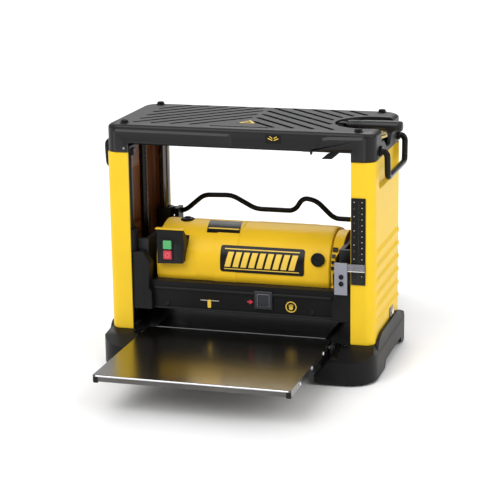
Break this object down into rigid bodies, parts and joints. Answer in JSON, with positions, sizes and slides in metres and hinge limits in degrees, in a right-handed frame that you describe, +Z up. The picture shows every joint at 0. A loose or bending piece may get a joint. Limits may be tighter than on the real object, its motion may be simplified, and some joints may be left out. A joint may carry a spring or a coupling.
{
  "type": "thickness planer",
  "caption": "Portable thickness planer: yellow column covers, black base and cover, cutterhead carriage on lead screws, folding steel tables, folding crank.",
  "frame": {"origin": "centre of the footprint on the floor, midway between the two tables' outer edges", "axes": "+X to the operator's right along the rollers, +Y from the infeed table to the outfeed table, +Z up"},
  "size_m": [0.5375, 0.808, 0.4475],
  "materials": {
    "black_casting": "satin",
    "black_plastic": "satin",
    "cover_grey": "matte",
    "yellow_plastic": "satin",
    "chrome": "polished",
    "steel": "satin",
    "stainless": "satin",
    "rubber": "matte",
    "black_steel": "gloss",
    "green_button": "satin",
    "red_button": "satin",
    "zinc": "satin",
    "smoke_plastic": "satin",
    "clear_plastic": "gloss"
  },
  "bodies": {
    "frame": {"base_casting": "black_casting", "bed_plate": "stainless", "rubber_foot_front_left": "rubber", "rubber_foot_front_right": "rubber", "rubber_foot_rear_left": "rubber", "rubber_foot_rear_right": "rubber", "side_cover_left": "yellow_plastic", "side_cover_right": "yellow_plastic", "guide_post_front_left": "chrome", "guide_post_front_right": "chrome", "guide_post_rear_left": "chrome", "guide_post_rear_right": "chrome", "top_bolt_front_left": "black_steel", "top_bolt_front_right": "black_steel", "top_bolt_rear_left": "black_steel", "top_bolt_rear_right": "black_steel", "carry_handle_left": "black_steel", "carry_handle_right": "black_steel", "hinge_rod_front": "steel", "hinge_rod_rear": "steel", "depth_scale": "black_plastic", "upper_frame": "black_steel", "top_cover": "cover_grey", "crank_bearing_ring": "zinc", "lift_chain": "steel"},
    "carriage": {"carriage_casting": "black_casting", "motor_housing": "yellow_plastic", "belt_cover": "yellow_plastic", "belt_guard": "black_plastic", "switch_box": "black_plastic", "motor_stator": "steel", "drive_belt": "rubber", "brush_cap": "black_plastic", "gauge_window": "smoke_plastic", "gauge_pointer": "red_button", "pointer_bracket": "smoke_plastic", "cursor_lens": "clear_plastic", "cord_inlet": "rubber", "chip_chute": "black_plastic"},
    "crank": {"lead_screw_right": "steel", "crank_arm": "black_steel"},
    "grip_hinge": {"grip_hinge": "steel"},
    "grip": {"crank_grip": "black_plastic"},
    "left_screw": {"lead_screw_left": "steel"},
    "cutter": {"cutterhead": "steel", "knife_front": "chrome", "knife_rear": "chrome"},
    "armature": {"motor_armature": "steel"},
    "infeed_feed_roller": {"infeed_roller": "rubber"},
    "outfeed_feed_roller": {"outfeed_roller": "rubber"},
    "start": {"start_button": "green_button"},
    "stop": {"stop_button": "red_button"},
    "reset": {"reset_button": "black_plastic"},
    "removal_gauge": {"gauge_tab": "yellow_plastic"},
    "head_lock": {"lock_bar": "black_steel"},
    "infeed": {"infeed_table": "stainless"},
    "outfeed": {"outfeed_table": "stainless"}
  },
  "joints": [
    {"name": "carriage_lift", "type": "slide", "parent": "frame", "child": "carriage", "axis": [0, 0, 1], "range_m": [-0.0272, 0.1216]},
    {"name": "crank_turn", "type": "hinge", "parent": "frame", "child": "crank", "pos_m": [0.215, -0.005, 0.42], "axis": [0, 0, 1], "range_deg": [-6125, 27365]},
    {"name": "left_screw_turn", "type": "hinge", "parent": "frame", "child": "left_screw", "pos_m": [-0.215, -0.005, 0.42], "axis": [0, 0, 1], "range_deg": [-6125, 27365]},
    {"name": "grip_fold", "type": "hinge", "parent": "crank", "child": "grip_hinge", "pos_m": [0.163, -0.005, 0.433], "axis": [0, -1, 0], "range_deg": [0, 90]},
    {"name": "grip_spin", "type": "hinge", "parent": "grip_hinge", "child": "grip", "pos_m": [0.22, -0.005, 0.4366], "axis": [1, 0, 0], "continuous": true},
    {"name": "cutter_spin", "type": "hinge", "parent": "carriage", "child": "cutter", "pos_m": [0, 0, 0.125], "axis": [1, 0, 0], "continuous": true},
    {"name": "armature_spin", "type": "hinge", "parent": "carriage", "child": "armature", "pos_m": [0, 0, 0.2], "axis": [1, 0, 0], "continuous": true},
    {"name": "infeed_roller_spin", "type": "hinge", "parent": "carriage", "child": "infeed_feed_roller", "pos_m": [0, -0.06, 0.1185], "axis": [1, 0, 0], "continuous": true},
    {"name": "outfeed_roller_spin", "type": "hinge", "parent": "carriage", "child": "outfeed_feed_roller", "pos_m": [0, 0.06, 0.1185], "axis": [1, 0, 0], "continuous": true},
    {"name": "start_press", "type": "slide", "parent": "carriage", "child": "start", "axis": [0, 1, 0], "range_m": [0, 0.0025], "stiffness_N_per_m": 800},
    {"name": "stop_press", "type": "slide", "parent": "carriage", "child": "stop", "axis": [0, 1, 0], "range_m": [0, 0.0025], "stiffness_N_per_m": 800},
    {"name": "reset_press", "type": "slide", "parent": "carriage", "child": "reset", "axis": [0, 0, -1], "range_m": [0, 0.003], "stiffness_N_per_m": 800},
    {"name": "gauge_travel", "type": "slide", "parent": "carriage", "child": "removal_gauge", "axis": [0, 0, 1], "range_m": [0, 0.0035]},
    {"name": "head_lock_turn", "type": "hinge", "parent": "carriage", "child": "head_lock", "pos_m": [0, 0.105, 0.236], "axis": [-1, 0, 0], "range_deg": [0, 70]},
    {"name": "infeed_fold", "type": "hinge", "parent": "frame", "child": "infeed", "pos_m": [0, -0.134, 0.06], "axis": [-1, 0, 0], "range_deg": [0, 90]},
    {"name": "outfeed_fold", "type": "hinge", "parent": "frame", "child": "outfeed", "pos_m": [0, 0.134, 0.06], "axis": [1, 0, 0], "range_deg": [0, 90]}
  ],
  "couplings": [
    {"joint": "armature_spin", "follows": "cutter_spin", "ratio": 2},
    {"joint": "infeed_roller_spin", "follows": "cutter_spin", "ratio": -0.007},
    {"joint": "outfeed_roller_spin", "follows": "cutter_spin", "ratio": -0.007},
    {"joint": "crank_turn", "follows": "carriage_lift", "rad_per_m": 3927},
    {"joint": "left_screw_turn", "follows": "carriage_lift", "rad_per_m": 3927}
  ]
}
